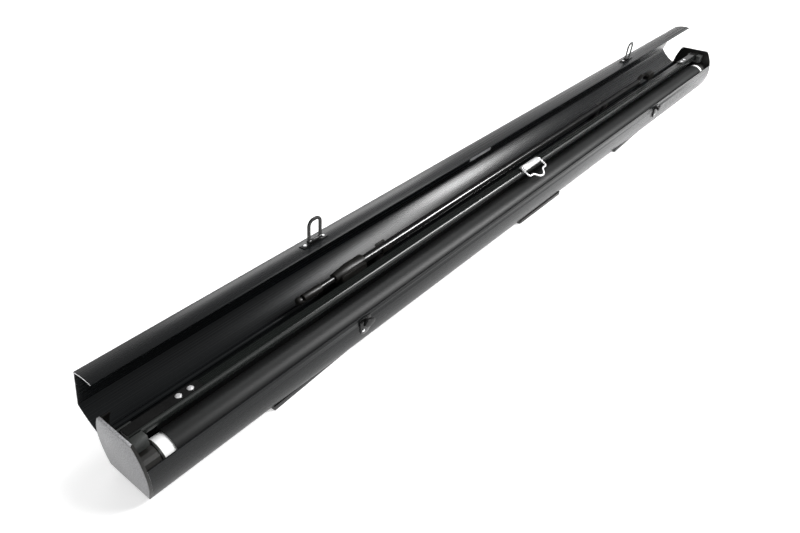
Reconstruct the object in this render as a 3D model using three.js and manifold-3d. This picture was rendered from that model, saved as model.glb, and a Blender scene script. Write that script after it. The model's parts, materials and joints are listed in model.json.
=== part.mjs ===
// Portable floor projector screen, lying open: a long aluminium case with a hinged lid holds a spring roller,
// the screen's top slat with its pull-up bail, and a telescopic mast stored in two clips.
// Millimetres. +X runs along the case, +Y to the hinge side and +Z up.
// The origin is on the floor under the middle.
import * as THREE from "three";
import { mergeVertices } from "three/addons/utils/BufferGeometryUtils.js";
import Module from "manifold-3d";

const wasm = await Module();
wasm.setup();

// Case: a barrel section with a flat top and bottom, level with z = 0 of the case frame at its underside
const caseLength = 1840;
const caseHeight = 88;
const topHalf = 35;
const bulgeHalf = 51;
const bulgeHeight = 44;
const bottomHalf = 42.5;
const caseWall = 1.8;
const frontRimHeight = 52;
const seat = 0.3;
const cutSpare = 4;
const sideSteps = 12;

// Hinge along the back rim: the lid's open channel turns round a bead on the case
const hingeZ = 42;
const beadRadius = 2.2;
const channelWall = 1.9;
const channelFrom = 12;
const channelTo = 240;
const openAngle = 70.5;
const channelSteps = 18;
const roundSteps = 24;
const smallSteps = 16;
const cornerSteps = 4;
const rollSteps = 36;

// Lid
const lidGap = 0.6;
const lidInset = 3;
const lidWall = 1.8;
const lipEnd = 54.5;

// End caps: a thin face plate on a moulded cup
const facePlate = 1.5;
const faceReturn = 1.6;
const faceReturnWall = 0.9;
const faceGrooveBelow = 1.2;
const faceGroove = 0.9;
const capRim = 1;
const capPlate = 2.5;
const capSkirtDepth = 12;
const capSkirtWall = 2;
const capRibHeight = 7;
const capRibWall = 1.6;
const capRibPitch = 11;
const capRibs = 3;
const bossRadius = 22.5;
const capSkirtFront = 48;
const shaftEndGap = 1;

// Roller, its spring and the wound screen
const rollerY = -21;
const rollerZ = 32;
const rollerRadius = 23;
const rollerWall = 1.4;
const rollerEnd = 33.5;
const screenMargin = 50;
const screenWound = 2.4;
const screenThickness = 0.5;
const plugFlange = 3;
const plugFlangeRadius = 24;
const plugDepth = 22;
const pinRadius = 5;
const shaftRadius = 4;
const shaftLength = 470;
const springRadius = 11;
const springWire = 1.2;
const springTurns = 24;
const springStepsPerTurn = 8;
const springSides = 5;
const bearingWidth = 12;

// Slat: the screen's top bar, resting in a cradle at each cap
const slatFront = -13.4;
const slatFoot = -12.2;
const slatSlotY = -8;
const slatRidge = -11.5;
const slatBack = 5;
const slatBottom = 67;
const slatTop = 79;
const slatShoulder = 1.2;
const slatFrontDrop = 7.5;
const slatSlotWidth = 4;
const slatSlotDepth = 5;
const slatEndInset = 10;
const coverLength = 108;
const coverRise = 1.6;
const coverFrontY = -10;
const rivetHeadRadius = 4.4;
const rivetHeadHeight = 1.8;
const rivetRimShare = 0.33;
const rivetCrownShare = 0.6;
const rivetCrownHeightShare = 0.9;
const slatRivetNear = 87;
const slatRivetPitch = 18;
const cradleFront = -26;
const cradleBack = 10;
const cradleBottom = 60;
const cradleLength = 22;

// Bail on the slat's middle: a wire loop with a pointed tip, in a rolled bracket
const bailHalf = 32;
const bailWireRadius = 2;
const bailPivotY = -8;
const bailReach = 23;
const bailTipReach = 35;
const bailTipHalf = 12;
const bailBracketHalf = 27.5;
const bailBore = 2.3;
const bailBracketRadius = 7.5;
const bailSlope = 28;
const bailPivotRise = 5;
const bailSides = 10;

// Lid tab, a bent strip under the lip
const tabCentre = -112;
const tabHalf = 34;
const tabWall = 1.2;
const tabFlange = 6;
const tabReach = 14;
const tabDrop = 2.4;
const tabLow = 61.4;

// Hasps on the lid's lip and latches on the front wall
const haspInset = 378;
const haspHeight = 73;
const haspLean = 95.5;
const haspLength = 39;
const haspHalf = 14;
const haspStrip = 5;
const haspThickness = 2.6;
const haspArch = 12;
const haspEyeRadius = 2.9;
const haspStand = 4.1;
const haspRivetX = 18.5;
const haspPinEnd = 14.8;
const haspPinRadius = 1.5;
const haspPinBore = 1.8;
const haspBaseHalf = 25;
const haspBaseWall = 1.2;
const haspBaseLow = 68;
const haspBaseHigh = 79;
const haspKnuckleHalf = 7.5;
const smallRivetRadius = 2.8;
const smallRivetHeight = 1.3;
const latchLow = 18;
const latchHigh = 49;
const latchHalf = 12;
const latchWall = 1.5;
const latchSpindleHeight = 43.5;
const latchRivetHeight = 28;
const latchRivetX = -6;
const spindleRadius = 3.5;
const spindleBore = 3.8;
const spindleNeck = 6.4;
const spindleHead = 5;
const spindleHeadHeight = 1.4;
const knobLong = 11;
const knobShort = 5.5;
const knobThickness = 5;

// Swivel feet and the folding carry handle under the case
const footInset = 386;
const footHalfLength = 190;
const footHalfWidth = 34;
const footThickness = 7;
const washerThickness = 1.1;
const washerRadius = 12;
const pivotHeadRadius = 8;
const counterbore = 8.6;
const counterboreDepth = 2.6;
const footAngle = 3;
const pivotRadius = 4;
const pivotBore = 4.3;
const pivotHeadHeight = 1.8;
const handleHalf = 81;
const handleFront = -44.5;
const handlePivotY = -12;
const handleGrip = 13;
const handleCorner = 5;
const handleArm = 9;
const handleThickness = 6;
const handlePinRadius = 2;
const handlePinBore = 2.3;
const handleBracketHalf = 7;
const handleBracketWidth = 9;
const handleDrop = 3.6;

// Telescopic mast, stored in its clips, and the socket it stands in
const mastY = 31;
const mastZ = 71;
const mastRadius = 7;
const mastWall = 1;
const mastInnerRadius = 5;
const mastInnerWall = 1;
const headNear = -600;
const headFar = -551;
const headRadius = 6.5;
const headSlotWidth = 5;
const headSlotDepth = 7;
const headSlotInset = 7;
const clampNear = -522;
const clampWide = -490;
const clampFar = -457;
const clampNearRadius = 8;
const clampRadius = 11.4;
const mastOuterNear = -510;
const mastOuterFar = 604;
const mastInnerFar = 60;
const leverWidth = 4.5;
const leverHalf = 5;
const leverLength = 50;
const leverGap = 0.4;
const leverPinRadius = 2;
const leverPinBore = 2.3;
const leverPinInset = 8;
const footTube = 20;
const forkWall = 3;
const forkHalf = 5;
const archRise = 12;
const archSteps = 8;
const forkFar = 660;
const blockFar = 692;
const blockHalf = 7.5;
const clipX = 402;
const clipHalf = 11;
const clipWall = 2;
const clipBackTop = 76;
const clipFrontTop = 75;
const clipFlare = 3;
const clipArmAngle = -50;
const clipFootTop = 36;
const clipFootLength = 17;
const clipGap = 0.5;
const socketY = 25.5;
const socketHalf = 12;
const socketBore = 8;
const socketTop = 48;
const socketFlange = 20;
const socketFlangeHeight = 3;
const socketFloor = 4;

// Materials
const colours = {
  aluminium: [0x17181a, 0.35, 0.9],
  face: [0xb9b9bc, 0.4, 0.3],
  moulding: [0x141416, 0.55, 0],
  grey: [0x5d6062, 0.5, 0],
  tube: [0xe6e6e4, 0.45, 0.2],
  fabric: [0x0e0e10, 0.7, 0],
  steel: [0x9a9b9d, 0.3, 1],
  chrome: [0xe2e3e5, 0.12, 1],
  black: [0x111113, 0.3, 0.6],
  rubber: [0x1b1b1c, 0.8, 0],
};

function paint(name) {
  const [color, roughness, metalness] = colours[name];
  return new THREE.MeshStandardMaterial({ color, roughness, metalness });
}

// Derived sizes of the case
const halfLength = caseLength / 2;
const haspX = halfLength - haspInset;
const footX = halfLength - footInset;
const capInner = halfLength - facePlate - capPlate;
const extrusionHalf = capInner - seat;
const channelRadius = beadRadius + seat;
const channelStart = hingeZ + channelRadius + channelWall / 2;
const notchRadius = channelRadius + channelWall + seat * 2;
const standHeight = seat / 3 + washerThickness + seat + footThickness;
const rad = THREE.MathUtils.degToRad;

// The circle through three points of the section
function circleThrough([ax, ay], [bx, by], [cx, cy]) {
  const d = 2 * (ax * (by - cy) + bx * (cy - ay) + cx * (ay - by));
  const a = ax * ax + ay * ay;
  const b = bx * bx + by * by;
  const c = cx * cx + cy * cy;
  const x = (a * (by - cy) + b * (cy - ay) + c * (ay - by)) / d;
  const y = (a * (cx - bx) + b * (ax - cx) + c * (bx - ax)) / d;
  return { x, y, r: Math.hypot(ax - x, ay - y) };
}

const barrel = circleThrough([bottomHalf, 0], [bulgeHalf, bulgeHeight], [topHalf, caseHeight]);
const hingeY = sideAt(hingeZ, -caseWall / 2);

// The back side of the barrel: y at height z, moved out by offset
function sideAt(z, offset) {
  return barrel.x + Math.sqrt((barrel.r + offset) ** 2 - (z - barrel.y) ** 2);
}

// Points on the back side from height low to height high
function sideArc(low, high, offset, steps = sideSteps) {
  const r = barrel.r + offset;
  const from = Math.asin((low - barrel.y) / r);
  const to = Math.asin((high - barrel.y) / r);
  return Array.from({ length: steps + 1 }, (_, i) => {
    const t = from + ((to - from) * i) / steps;
    return [barrel.x + r * Math.cos(t), barrel.y + r * Math.sin(t)];
  });
}

const mirrored = (points) => points.map(([y, z]) => [-y, z]);

// Points on an arc round a centre, angles in degrees
function arc(cx, cy, r, from, to, steps) {
  return Array.from({ length: steps + 1 }, (_, i) => {
    const t = rad(from + ((to - from) * i) / steps);
    return [cx + r * Math.cos(t), cy + r * Math.sin(t)];
  });
}

const circle = (cx, cy, r, steps = roundSteps) => arc(cx, cy, r, 0, 360, steps).slice(0, -1);

const rectangle = (x0, y0, x1, y1) => [
  [x0, y0],
  [x1, y0],
  [x1, y1],
  [x0, y1],
];

function roundedRectangle(x0, y0, x1, y1, r, steps = cornerSteps) {
  return [
    ...arc(x1 - r, y0 + r, r, -90, 0, steps),
    ...arc(x1 - r, y1 - r, r, 0, 90, steps),
    ...arc(x0 + r, y1 - r, r, 90, 180, steps),
    ...arc(x0 + r, y0 + r, r, 180, 270, steps),
  ];
}

// Extrusions: the outline's two coordinates and the direction it runs in
const along = {
  x: new THREE.Matrix4().makeBasis(
    new THREE.Vector3(0, 1, 0),
    new THREE.Vector3(0, 0, 1),
    new THREE.Vector3(1, 0, 0),
  ),
  y: new THREE.Matrix4().makeBasis(
    new THREE.Vector3(0, 0, 1),
    new THREE.Vector3(1, 0, 0),
    new THREE.Vector3(0, 1, 0),
  ),
  z: new THREE.Matrix4(),
};

// Extrudes an outline from one coordinate to another: (y, z) along x, (z, x) along y, (x, y) along z
function extrude(axis, outline, from, to, holes = []) {
  const shape = new THREE.Shape(outline.map(([u, v]) => new THREE.Vector2(u, v)));
  holes.forEach((h) => shape.holes.push(new THREE.Path(h.map(([u, v]) => new THREE.Vector2(u, v)))));
  const made = new THREE.ExtrudeGeometry(shape, { depth: to - from, bevelEnabled: false });
  made.translate(0, 0, from);
  return made.applyMatrix4(along[axis]);
}

// A turned piece about the X axis: the profile is (x, radius), from the axis back to the axis
function turnedX(profile, y, z, steps = roundSteps) {
  const made = new THREE.LatheGeometry(
    profile.map(([x, r]) => new THREE.Vector2(r, x)),
    steps,
  );
  made.applyMatrix4(along.x).applyMatrix4(new THREE.Matrix4().makeBasis(
    new THREE.Vector3(0, 1, 0),
    new THREE.Vector3(0, 0, 1),
    new THREE.Vector3(1, 0, 0),
  ));
  return made.translate(0, y, z);
}

// Cuts and joins
function solid(geometry) {
  const flat = geometry.index ? geometry.toNonIndexed() : geometry.clone();
  flat.deleteAttribute("normal");
  flat.deleteAttribute("uv");
  const merged = mergeVertices(flat, 1e-4);
  return new wasm.Manifold(
    new wasm.Mesh({
      numProp: 3,
      vertProperties: merged.attributes.position.array,
      triVerts: new Uint32Array(merged.index.array),
    }),
  );
}

function geometryOf(made) {
  const mesh = made.getMesh();
  const geometry = new THREE.BufferGeometry();
  geometry.setAttribute("position", new THREE.BufferAttribute(mesh.vertProperties, 3));
  geometry.setIndex(new THREE.BufferAttribute(mesh.triVerts, 1));
  return geometry;
}

const join = (...pieces) => geometryOf(pieces.map(solid).reduce((a, b) => a.add(b)));
const cut = (piece, ...tools) => geometryOf(tools.map(solid).reduce((a, b) => a.subtract(b), solid(piece)));
const common = (a, b) => geometryOf(solid(a).intersect(solid(b)));

// Groups: the case frame stands on the feet, and the lid turns about its hinge
const root = new THREE.Group();
const caseFrame = new THREE.Group();
const lidFrame = new THREE.Group();
root.add(caseFrame);
caseFrame.add(lidFrame);

function put(group, name, geometry, paintName) {
  const mesh = new THREE.Mesh(geometry, paint(paintName));
  mesh.name = name;
  group.add(mesh);
  return mesh;
}

const ends = [
  ["near", -1],
  ["far", 1],
];

// Lower case: one extrusion with the hinge bead along its back rim
function lowerCase() {
  const outer = [...mirrored(sideArc(0, frontRimHeight, 0)).reverse(), ...sideArc(0, hingeZ, 0)];
  const inner = [
    ...mirrored(sideArc(caseWall, frontRimHeight, -caseWall)).reverse(),
    ...sideArc(caseWall, hingeZ, -caseWall),
  ];
  const shell = extrude("x", [...outer, ...inner.reverse()], -extrusionHalf, extrusionHalf);
  const bead = extrude("x", circle(hingeY, hingeZ, beadRadius, smallSteps), -extrusionHalf, extrusionHalf);
  const holes = ends.flatMap(([, side]) => [
    extrude("z", circle(side * footX, 0, pivotBore), -cutSpare, caseWall + cutSpare),
    latchBore(side * haspX),
  ]);
  return cut(join(shell, bead), ...holes);
}

// Lid, drawn shut: it covers the caps from outside and its channel goes round the bead
function lid() {
  const innerTop = caseHeight + lidGap;
  const outerTop = innerTop + lidWall;
  const outside = lidGap + lidWall;
  const outer = [
    ...sideArc(channelStart, outerTop, outside),
    ...mirrored(sideArc(lipEnd, outerTop, outside)).reverse(),
  ];
  const inner = [
    ...sideArc(channelStart, innerTop, lidGap),
    ...mirrored(sideArc(lipEnd, innerTop, lidGap)).reverse(),
  ];
  const half = halfLength - lidInset;
  const shell = extrude("x", [...outer, ...inner.reverse()], -half, half);
  const ring = [
    ...arc(hingeY, hingeZ, channelRadius + channelWall, channelFrom, channelTo, channelSteps),
    ...arc(hingeY, hingeZ, channelRadius, channelTo, channelFrom, channelSteps),
  ];
  return join(shell, extrude("x", ring, -extrusionHalf, extrusionHalf));
}

// The space that the lid's channel turns in, cut out of the cap's skirt
function hingeNotch() {
  const notch = circle(hingeY, hingeZ, notchRadius);
  return extrude("x", notch, capInner - capSkirtDepth - cutSpare, capInner);
}

// The whole outline of an end cap, moved by offset
function capOutline(offset, low, high) {
  return [...mirrored(sideArc(low, high, offset)).reverse(), ...sideArc(low, high, offset)];
}

// Face plate in the cap's rim, with a groove near its top and a narrow return over the cap's top edge
function capFace(side) {
  const inset = -capRim - seat;
  const plate = extrude("x", capOutline(inset, 0, caseHeight), halfLength - facePlate, halfLength);
  const half = topHalf - capRim - seat;
  const back = halfLength - facePlate - faceReturn;
  const strip = extrude(
    "x",
    rectangle(-half, caseHeight - faceReturnWall, half, caseHeight),
    back,
    halfLength - facePlate / 2,
  );
  const grooveTop = caseHeight - faceGrooveBelow;
  const groove = extrude(
    "x",
    rectangle(-bulgeHalf, grooveTop - faceGroove, bulgeHalf, grooveTop),
    halfLength - faceGroove,
    halfLength + cutSpare,
  );
  return turnEnd(cut(join(plate, strip), groove), side);
}

// Pieces for the far end are drawn; the near end takes their mirror images
function turnEnd(geometry, side) {
  if (side > 0) return geometry;
  return flipped(geometry);
}

// Mirrors a geometry in x = 0 and keeps its faces outwards
function flipped(geometry) {
  const made = geometry.index ? geometry.toNonIndexed() : geometry.clone();
  made.scale(-1, 1, 1);
  const p = made.attributes.position;
  const kept = [];
  for (let i = 0; i < p.count; i += 3) {
    for (const j of [i, i + 2, i + 1]) kept.push(p.getX(j), p.getY(j), p.getZ(j));
  }
  const turned = new THREE.BufferGeometry();
  turned.setAttribute("position", new THREE.Float32BufferAttribute(kept, 3));
  return turned;
}

// Moulded cup: plate with a rim round the face plate, side and bottom skirts, ribs and the roller's boss
function capBody(side) {
  const from = capInner;
  const outside = -caseWall - seat;
  const platTop = caseHeight - faceReturnWall - seat;
  const full = extrude("x", capOutline(0, 0, platTop), from, halfLength - seat);
  const pocketLow = -cutSpare;
  const pocketHigh = caseHeight + cutSpare;
  const pocket = extrude(
    "x",
    capOutline(-capRim, pocketLow, pocketHigh),
    halfLength - facePlate - seat / 3,
    halfLength + cutSpare,
  );
  const plate = cut(full, pocket);
  const low = caseWall + seat;
  const skirtOuter = capOutline(outside, low, platTop);
  const skirtInner = capOutline(outside - capSkirtWall, low + capSkirtWall, platTop);
  const ring = [...skirtOuter, ...skirtInner.reverse()];
  const skirtFrom = from - capSkirtDepth;
  const window = rectangle(-halfLength, capSkirtFront, rollerY, halfLength);
  const skirt = cut(
    extrude("x", ring, skirtFrom, from + capPlate / 2),
    extrude("x", window, skirtFrom - cutSpare, from),
  );
  const rollerFace = halfLength - rollerEnd + plugFlange + seat;
  const boss = extrude("x", circle(rollerY, rollerZ, bossRadius), rollerFace, from + capPlate / 2);
  const bore = extrude(
    "x",
    circle(rollerY, rollerZ, (side < 0 ? shaftRadius : pinRadius) + seat),
    rollerFace - cutSpare,
    from + seat,
  );
  const ribs = Array.from({ length: capRibs }, (_, i) => {
    const z = rollerZ + bossRadius + capRibPitch * (i - capRibs);
    const half = sideAt(z, outside) - capSkirtWall / 2;
    return extrude("x", rectangle(0, z, half, z + capRibWall), from - capRibHeight, from + capPlate / 2);
  });
  return turnEnd(cut(join(plate, skirt, boss, ...ribs), hingeNotch(), bore), side);
}

// Cradle for the slat's end, open at the top
function slatCradle(side) {
  const from = capInner - seat - cradleLength;
  const to = capInner - seat;
  const top = slatTop - slatShoulder;
  const block = extrude("x", rectangle(cradleFront, cradleBottom, cradleBack, top), from, to);
  const slot = extrude(
    "x",
    rectangle(slatFront - seat * 2, slatBottom - seat, slatBack + seat * 2, top + cutSpare),
    from - cutSpare,
    halfLength,
  );
  return turnEnd(cut(block, slot), side);
}

// Hollow round tube along X
function tubeX(y, z, radius, wall, from, to, steps = roundSteps) {
  return extrude("x", circle(y, z, radius, steps), from, to, [circle(y, z, radius - wall, steps)]);
}

function rollerTube() {
  const end = halfLength - rollerEnd;
  return tubeX(rollerY, rollerZ, rollerRadius, rollerWall, -end, end, rollSteps);
}

// Plug in the roller's end: flange outside, body inside, and a pin at the far end or a bore at the near end
function rollerPlug(side) {
  const face = halfLength - rollerEnd;
  const inside = rollerRadius - rollerWall - seat;
  const flange = extrude("x", circle(rollerY, rollerZ, plugFlangeRadius), face + seat / 3, face + plugFlange);
  const body = extrude("x", circle(rollerY, rollerZ, inside), face - plugDepth, face + plugFlange / 2);
  const joined = join(flange, body);
  if (side > 0) {
    const pin = extrude("x", circle(rollerY, rollerZ, pinRadius), face, capInner - seat);
    return join(joined, pin);
  }
  const bore = extrude(
    "x",
    circle(rollerY, rollerZ, shaftRadius + seat),
    face - plugDepth - cutSpare,
    halfLength,
  );
  return turnEnd(cut(joined, bore), side);
}

// Fixed shaft that the spring winds against
function springShaft() {
  const from = -capInner + shaftEndGap;
  return extrude("x", circle(rollerY, rollerZ, shaftRadius, smallSteps), from, from + shaftLength);
}

// Bearing that carries the shaft's inner end in the roller
function shaftBearing() {
  const end = -capInner + shaftEndGap + shaftLength;
  const inside = rollerRadius - rollerWall - seat;
  return extrude(
    "x",
    circle(rollerY, rollerZ, inside),
    end - bearingWidth,
    end - seat,
    [circle(rollerY, rollerZ, shaftRadius + seat)],
  );
}

// Winding spring: one unbroken wire round the shaft, from the plug to the bearing
function windingSpring() {
  const from = -halfLength + rollerEnd + plugDepth + springWire + seat;
  const to = -capInner + shaftEndGap + shaftLength - bearingWidth - springWire - seat;
  const steps = springTurns * springStepsPerTurn;
  const positions = [];
  const index = [];
  for (let i = 0; i <= steps; i += 1) {
    const turn = (2 * Math.PI * i) / springStepsPerTurn;
    const x = from + ((to - from) * i) / steps;
    for (let j = 0; j < springSides; j += 1) {
      const t = (2 * Math.PI * j) / springSides;
      const r = springRadius + springWire * Math.cos(t);
      positions.push(
        x + springWire * Math.sin(t),
        rollerY + r * Math.cos(turn),
        rollerZ + r * Math.sin(turn),
      );
    }
  }
  for (let i = 0; i < steps; i += 1) {
    for (let j = 0; j < springSides; j += 1) {
      const a = i * springSides + j;
      const b = i * springSides + ((j + 1) % springSides);
      index.push(a, a + springSides, b, b, a + springSides, b + springSides);
    }
  }
  for (let j = 1; j < springSides - 1; j += 1) {
    const last = steps * springSides;
    index.push(0, j, j + 1, last, last + j + 1, last + j);
  }
  const made = new THREE.BufferGeometry();
  made.setAttribute("position", new THREE.Float32BufferAttribute(positions, 3));
  made.setIndex(index);
  return made;
}

// The wound screen, and the short run of it from the roll up to the slat
const rollRadius = rollerRadius + seat + screenWound;
const screenHalf = halfLength - screenMargin;

function screenRoll() {
  return tubeX(rollerY, rollerZ, rollRadius, screenWound, -screenHalf, screenHalf, rollSteps);
}

function screenLeader() {
  const top = [slatSlotY, slatBottom + slatSlotDepth - seat];
  const neck = [slatSlotY, slatBottom];
  const away = [neck[0] - rollerY, neck[1] - rollerZ];
  const distance = Math.hypot(...away);
  const r = rollRadius + seat + screenThickness / 2;
  const angle = Math.atan2(away[1], away[0]) - Math.acos(r / distance);
  const foot = [rollerY + r * Math.cos(angle), rollerZ + r * Math.sin(angle)];
  const half = screenThickness / 2;
  const outward = [Math.cos(angle) * half, Math.sin(angle) * half];
  const strip = [
    [foot[0] - outward[0], foot[1] - outward[1]],
    [foot[0] + outward[0], foot[1] + outward[1]],
    [neck[0] + half, neck[1]],
    [top[0] + half, top[1]],
    [top[0] - half, top[1]],
    [neck[0] - half, neck[1]],
  ];
  return extrude("x", strip, -screenHalf, screenHalf);
}

// Slat: an extrusion with a ridge along its top and a slot for the screen underneath
const slatSection = [
  [slatFoot, slatBottom],
  [slatSlotY - slatSlotWidth / 2, slatBottom],
  [slatSlotY - slatSlotWidth / 2, slatBottom + slatSlotDepth],
  [slatSlotY + slatSlotWidth / 2, slatBottom + slatSlotDepth],
  [slatSlotY + slatSlotWidth / 2, slatBottom],
  [slatBack, slatBottom],
  [slatBack, slatTop - slatShoulder],
  [slatRidge + slatShoulder, slatTop - slatShoulder],
  [slatRidge + slatShoulder / 2, slatTop],
  [slatRidge - slatShoulder / 2, slatTop],
  [slatFront, slatTop - slatFrontDrop],
];

function slatBar() {
  const half = halfLength - slatEndInset;
  return extrude("x", slatSection, -half, half);
}

// Cover strip over the slat's end, held by two rivets
function slatCover(side) {
  const low = slatTop - slatShoulder + seat / 3;
  const outline = rectangle(coverFrontY, low, slatBack, low + coverRise);
  const far = halfLength - slatEndInset - seat;
  return turnEnd(extrude("x", outline, far - coverLength, far), side);
}

// A domed rivet head on an upward face
function rivetUp(x, y, z, radius, height) {
  const made = new THREE.LatheGeometry(
    [
      new THREE.Vector2(0, 0),
      new THREE.Vector2(radius, 0),
      new THREE.Vector2(radius, height * rivetRimShare),
      new THREE.Vector2(radius * rivetCrownShare, height * rivetCrownHeightShare),
      new THREE.Vector2(0, height),
    ],
    smallSteps,
  );
  return made.rotateX(Math.PI / 2).translate(x, y, z);
}

const bailPivotZ = slatTop + bailPivotRise;

// Bracket on the slat: a half-round saddle with a bore for the wire's straight side
function bailBracket() {
  const low = slatTop + seat;
  const saddle = extrude(
    "x",
    arc(bailPivotY, low, bailBracketRadius, 0, 180, smallSteps),
    -bailBracketHalf,
    bailBracketHalf,
  );
  const bore = extrude(
    "x",
    circle(bailPivotY, bailPivotZ, bailBore, smallSteps),
    -bailBracketHalf - cutSpare,
    bailBracketHalf + cutSpare,
  );
  return cut(saddle, bore);
}

// Wire loop round the bracket's bore, drawn flat: two legs and a front with a pointed tip
function bailWire() {
  const corner = bailWireRadius * 2;
  const points = [
    [bailHalf - corner, 0],
    [bailHalf, corner],
    [bailHalf, bailReach - corner],
    [bailHalf - corner, bailReach],
    [bailTipHalf, bailReach],
    [bailTipHalf - corner / 2, bailReach + corner / 2],
    [corner / 2, bailTipReach],
  ];
  const half = points.map(([x, r]) => new THREE.Vector3(x, -r, 0));
  const other = points.map(([x, r]) => new THREE.Vector3(-x, -r, 0)).reverse();
  return closedWire([...half, ...other], bailWireRadius, bailSides);
}

// A closed loop of round wire through points that lie in a level plane
function closedWire(rows, radius, sides) {
  const positions = [];
  const index = [];
  const count = rows.length;
  rows.forEach((p, i) => {
    const before = rows[(i + count - 1) % count];
    const after = rows[(i + 1) % count];
    const a = new THREE.Vector3().subVectors(p, before).normalize();
    const b = new THREE.Vector3().subVectors(after, p).normalize();
    const t = new THREE.Vector3().addVectors(a, b).normalize();
    const across = new THREE.Vector3(-t.y, t.x, 0);
    const stretch = radius / Math.max(t.dot(b), radius / (radius * 2));
    for (let j = 0; j < sides; j += 1) {
      const angle = (2 * Math.PI * j) / sides;
      positions.push(
        p.x + across.x * stretch * Math.cos(angle),
        p.y + across.y * stretch * Math.cos(angle),
        p.z + radius * Math.sin(angle),
      );
    }
  });
  for (let i = 0; i < count; i += 1) {
    for (let j = 0; j < sides; j += 1) {
      const k = ((i + 1) % count) * sides;
      const a = i * sides + j;
      const b = i * sides + ((j + 1) % sides);
      const c = k + j;
      const d = k + ((j + 1) % sides);
      index.push(a, b, c, b, d, c);
    }
  }
  const made = new THREE.BufferGeometry();
  made.setAttribute("position", new THREE.Float32BufferAttribute(positions, 3));
  made.setIndex(index);
  return made;
}

// Catch strip inside the lid's lip, in the shut lid's coordinates: a flange and a leaf bent inwards
function lidTab() {
  const face = (z) => -sideAt(z, lidGap) + seat;
  const low = tabLow;
  const high = low + tabFlange;
  const section = [
    [face(low), low],
    [face(high), high],
    [face(high) + tabWall, high],
    [face(low + tabWall) + tabWall, low + tabWall],
    [face(low) + tabReach, low + tabWall - tabDrop],
    [face(low) + tabReach, low - tabDrop],
  ];
  const strip = extrude("x", section.reverse(), tabCentre - tabHalf, tabCentre + tabHalf);
  return strip;
}

// Where a hasp turns, in the shut lid's coordinates
const haspPivotY = -sideAt(haspHeight, lidGap + lidWall + seat + haspBaseWall) - haspStand;

// Base on the lip with a knuckle and the loop's pin
function haspBase(x) {
  const outside = lidGap + lidWall + seat;
  const low = mirrored(sideArc(haspBaseLow, haspBaseHigh, outside, smallSteps / 2));
  const high = mirrored(sideArc(haspBaseLow, haspBaseHigh, outside + haspBaseWall, smallSteps / 2));
  const plate = extrude("x", [...low, ...high.reverse()], x - haspBaseHalf, x + haspBaseHalf);
  const from = x - haspKnuckleHalf;
  const to = x + haspKnuckleHalf;
  const knuckle = extrude("x", circle(haspPivotY, haspHeight, haspEyeRadius, smallSteps), from, to);
  const stand = rectangle(
    haspPivotY,
    haspHeight - haspEyeRadius / 2,
    haspPivotY + haspStand + haspBaseWall / 2,
    haspHeight + haspEyeRadius / 2,
  );
  const web = extrude("x", stand, from, to);
  const pin = circle(haspPivotY, haspHeight, haspPinRadius, smallSteps);
  return join(plate, knuckle, web, extrude("x", pin, x - haspPinEnd, x + haspPinEnd));
}

// Loop drawn hanging down from its pin at the origin
function haspLoop() {
  const half = haspThickness / 2;
  const inner = haspHalf - haspStrip;
  const frame = extrude("y", archedStrip(haspHalf, haspArch, haspEyeRadius), -half, half);
  const opening = archedStrip(inner, haspArch - haspStrip, haspEyeRadius + cutSpare);
  const slot = extrude("y", opening, -half - cutSpare, half + cutSpare);
  const eyes = extrude("x", circle(0, 0, haspEyeRadius, smallSteps), -haspHalf, haspHalf);
  const middle = extrude(
    "x",
    circle(0, 0, haspEyeRadius + cutSpare, smallSteps),
    -haspKnuckleHalf - seat,
    haspKnuckleHalf + seat,
  );
  const bore = extrude("x", circle(0, 0, haspPinBore, smallSteps), -haspHalf - cutSpare, haspHalf + cutSpare);
  const solidLegs = join(cut(frame, slot), cut(eyes, middle));
  return cut(solidLegs, bore);
}

// Outline in z and x: square at the top, with rounded corners at the loop's free end
function archedStrip(half, corner, top) {
  const low = haspArch - haspLength;
  return [
    [top, -half],
    [top, half],
    ...arc(low, half - corner, corner, 90, 180, smallSteps / 2),
    ...arc(low, corner - half, corner, 180, 270, smallSteps / 2),
  ];
}

// A rivet standing on the front wall or the lip: built upward, then turned to the surface's normal
function rivetFront(x, z, offset, radius, height) {
  const normal = Math.atan2(z - barrel.y, sideAt(z, 0) - barrel.x);
  const made = rivetUp(0, 0, 0, radius, height);
  made.rotateX(Math.PI / 2 - normal);
  return made.translate(x, -sideAt(z, offset), z);
}

// The latch's plate follows the front wall and has a round lower end
function latchPlate(x) {
  const low = mirrored(sideArc(latchLow, latchHigh, seat, smallSteps / 2));
  const high = mirrored(sideArc(latchLow, latchHigh, seat + latchWall, smallSteps / 2));
  const plate = extrude("x", [...low, ...high.reverse()], x - latchHalf, x + latchHalf);
  const outline = [
    ...arc(latchLow + latchHalf, x, latchHalf, 90, 270, smallSteps),
    [latchHigh, x - latchHalf],
    [latchHigh, x + latchHalf],
  ];
  return cut(common(plate, extrude("y", outline, -halfLength, 0)), latchBore(x));
}

// The knob's axis leaves the wall square to it
const latchNormal = Math.atan2(latchSpindleHeight - barrel.y, sideAt(latchSpindleHeight, 0) - barrel.x);

// Puts a piece that is drawn along +Z from the wall's outer face onto the latch's axis
function onLatch(geometry, x) {
  geometry.rotateX(Math.PI / 2 - latchNormal);
  return geometry.translate(x, -sideAt(latchSpindleHeight, 0), latchSpindleHeight);
}

function latchBore(x) {
  const bore = circle(0, 0, spindleBore, smallSteps);
  return onLatch(extrude("z", bore, -caseWall - cutSpare, latchWall + cutSpare), x);
}

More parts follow.
